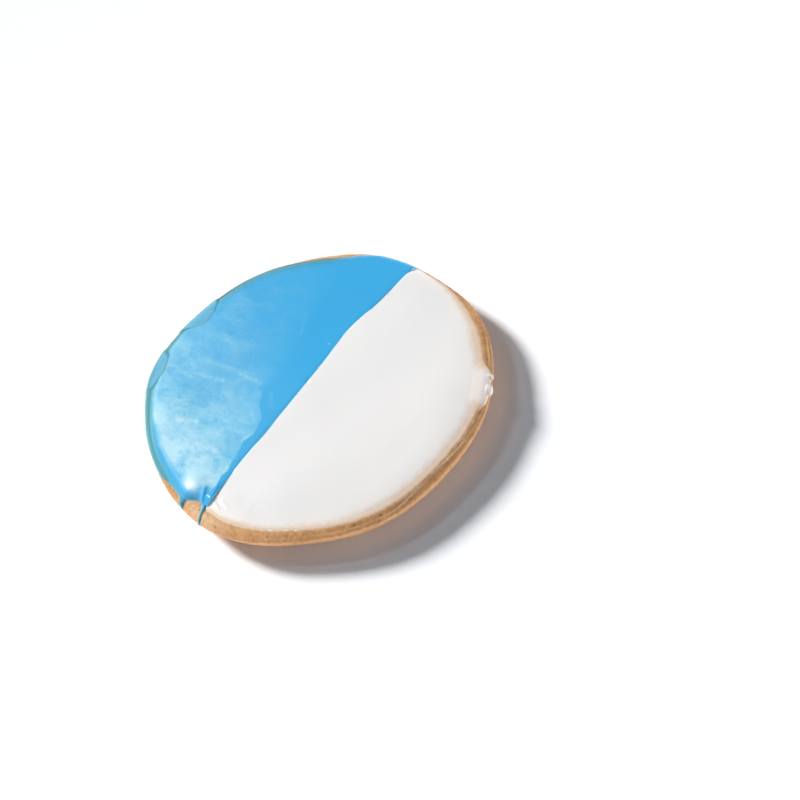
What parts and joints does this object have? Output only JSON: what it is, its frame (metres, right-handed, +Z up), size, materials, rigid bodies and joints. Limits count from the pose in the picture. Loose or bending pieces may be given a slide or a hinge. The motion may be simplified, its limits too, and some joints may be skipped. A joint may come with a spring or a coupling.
{
  "type": "iced sugar cookie",
  "caption": "Round flat sugar cookie, iced half white and half blue across its face, with the bare baked rim showing and small runs of icing over the edge.",
  "frame": {"origin": "on the surface the cookie lies on, under the middle of its outline", "axes": "+Z up out of the iced face; +Y along the line where the two icings meet; the white half is on +X and the blue half on -X"},
  "size_m": [0.1104, 0.1104, 0.0108],
  "materials": {
    "biscuit": "baked crumb, matte",
    "icing_white": "smooth sugar icing, satin",
    "icing_blue": "smooth sugar icing, glossy with fine wrinkles"
  },
  "bodies": {
    "root": {"biscuit": "biscuit", "icing_white": "icing_white", "icing_blue": "icing_blue"}
  },
  "joints": []
}
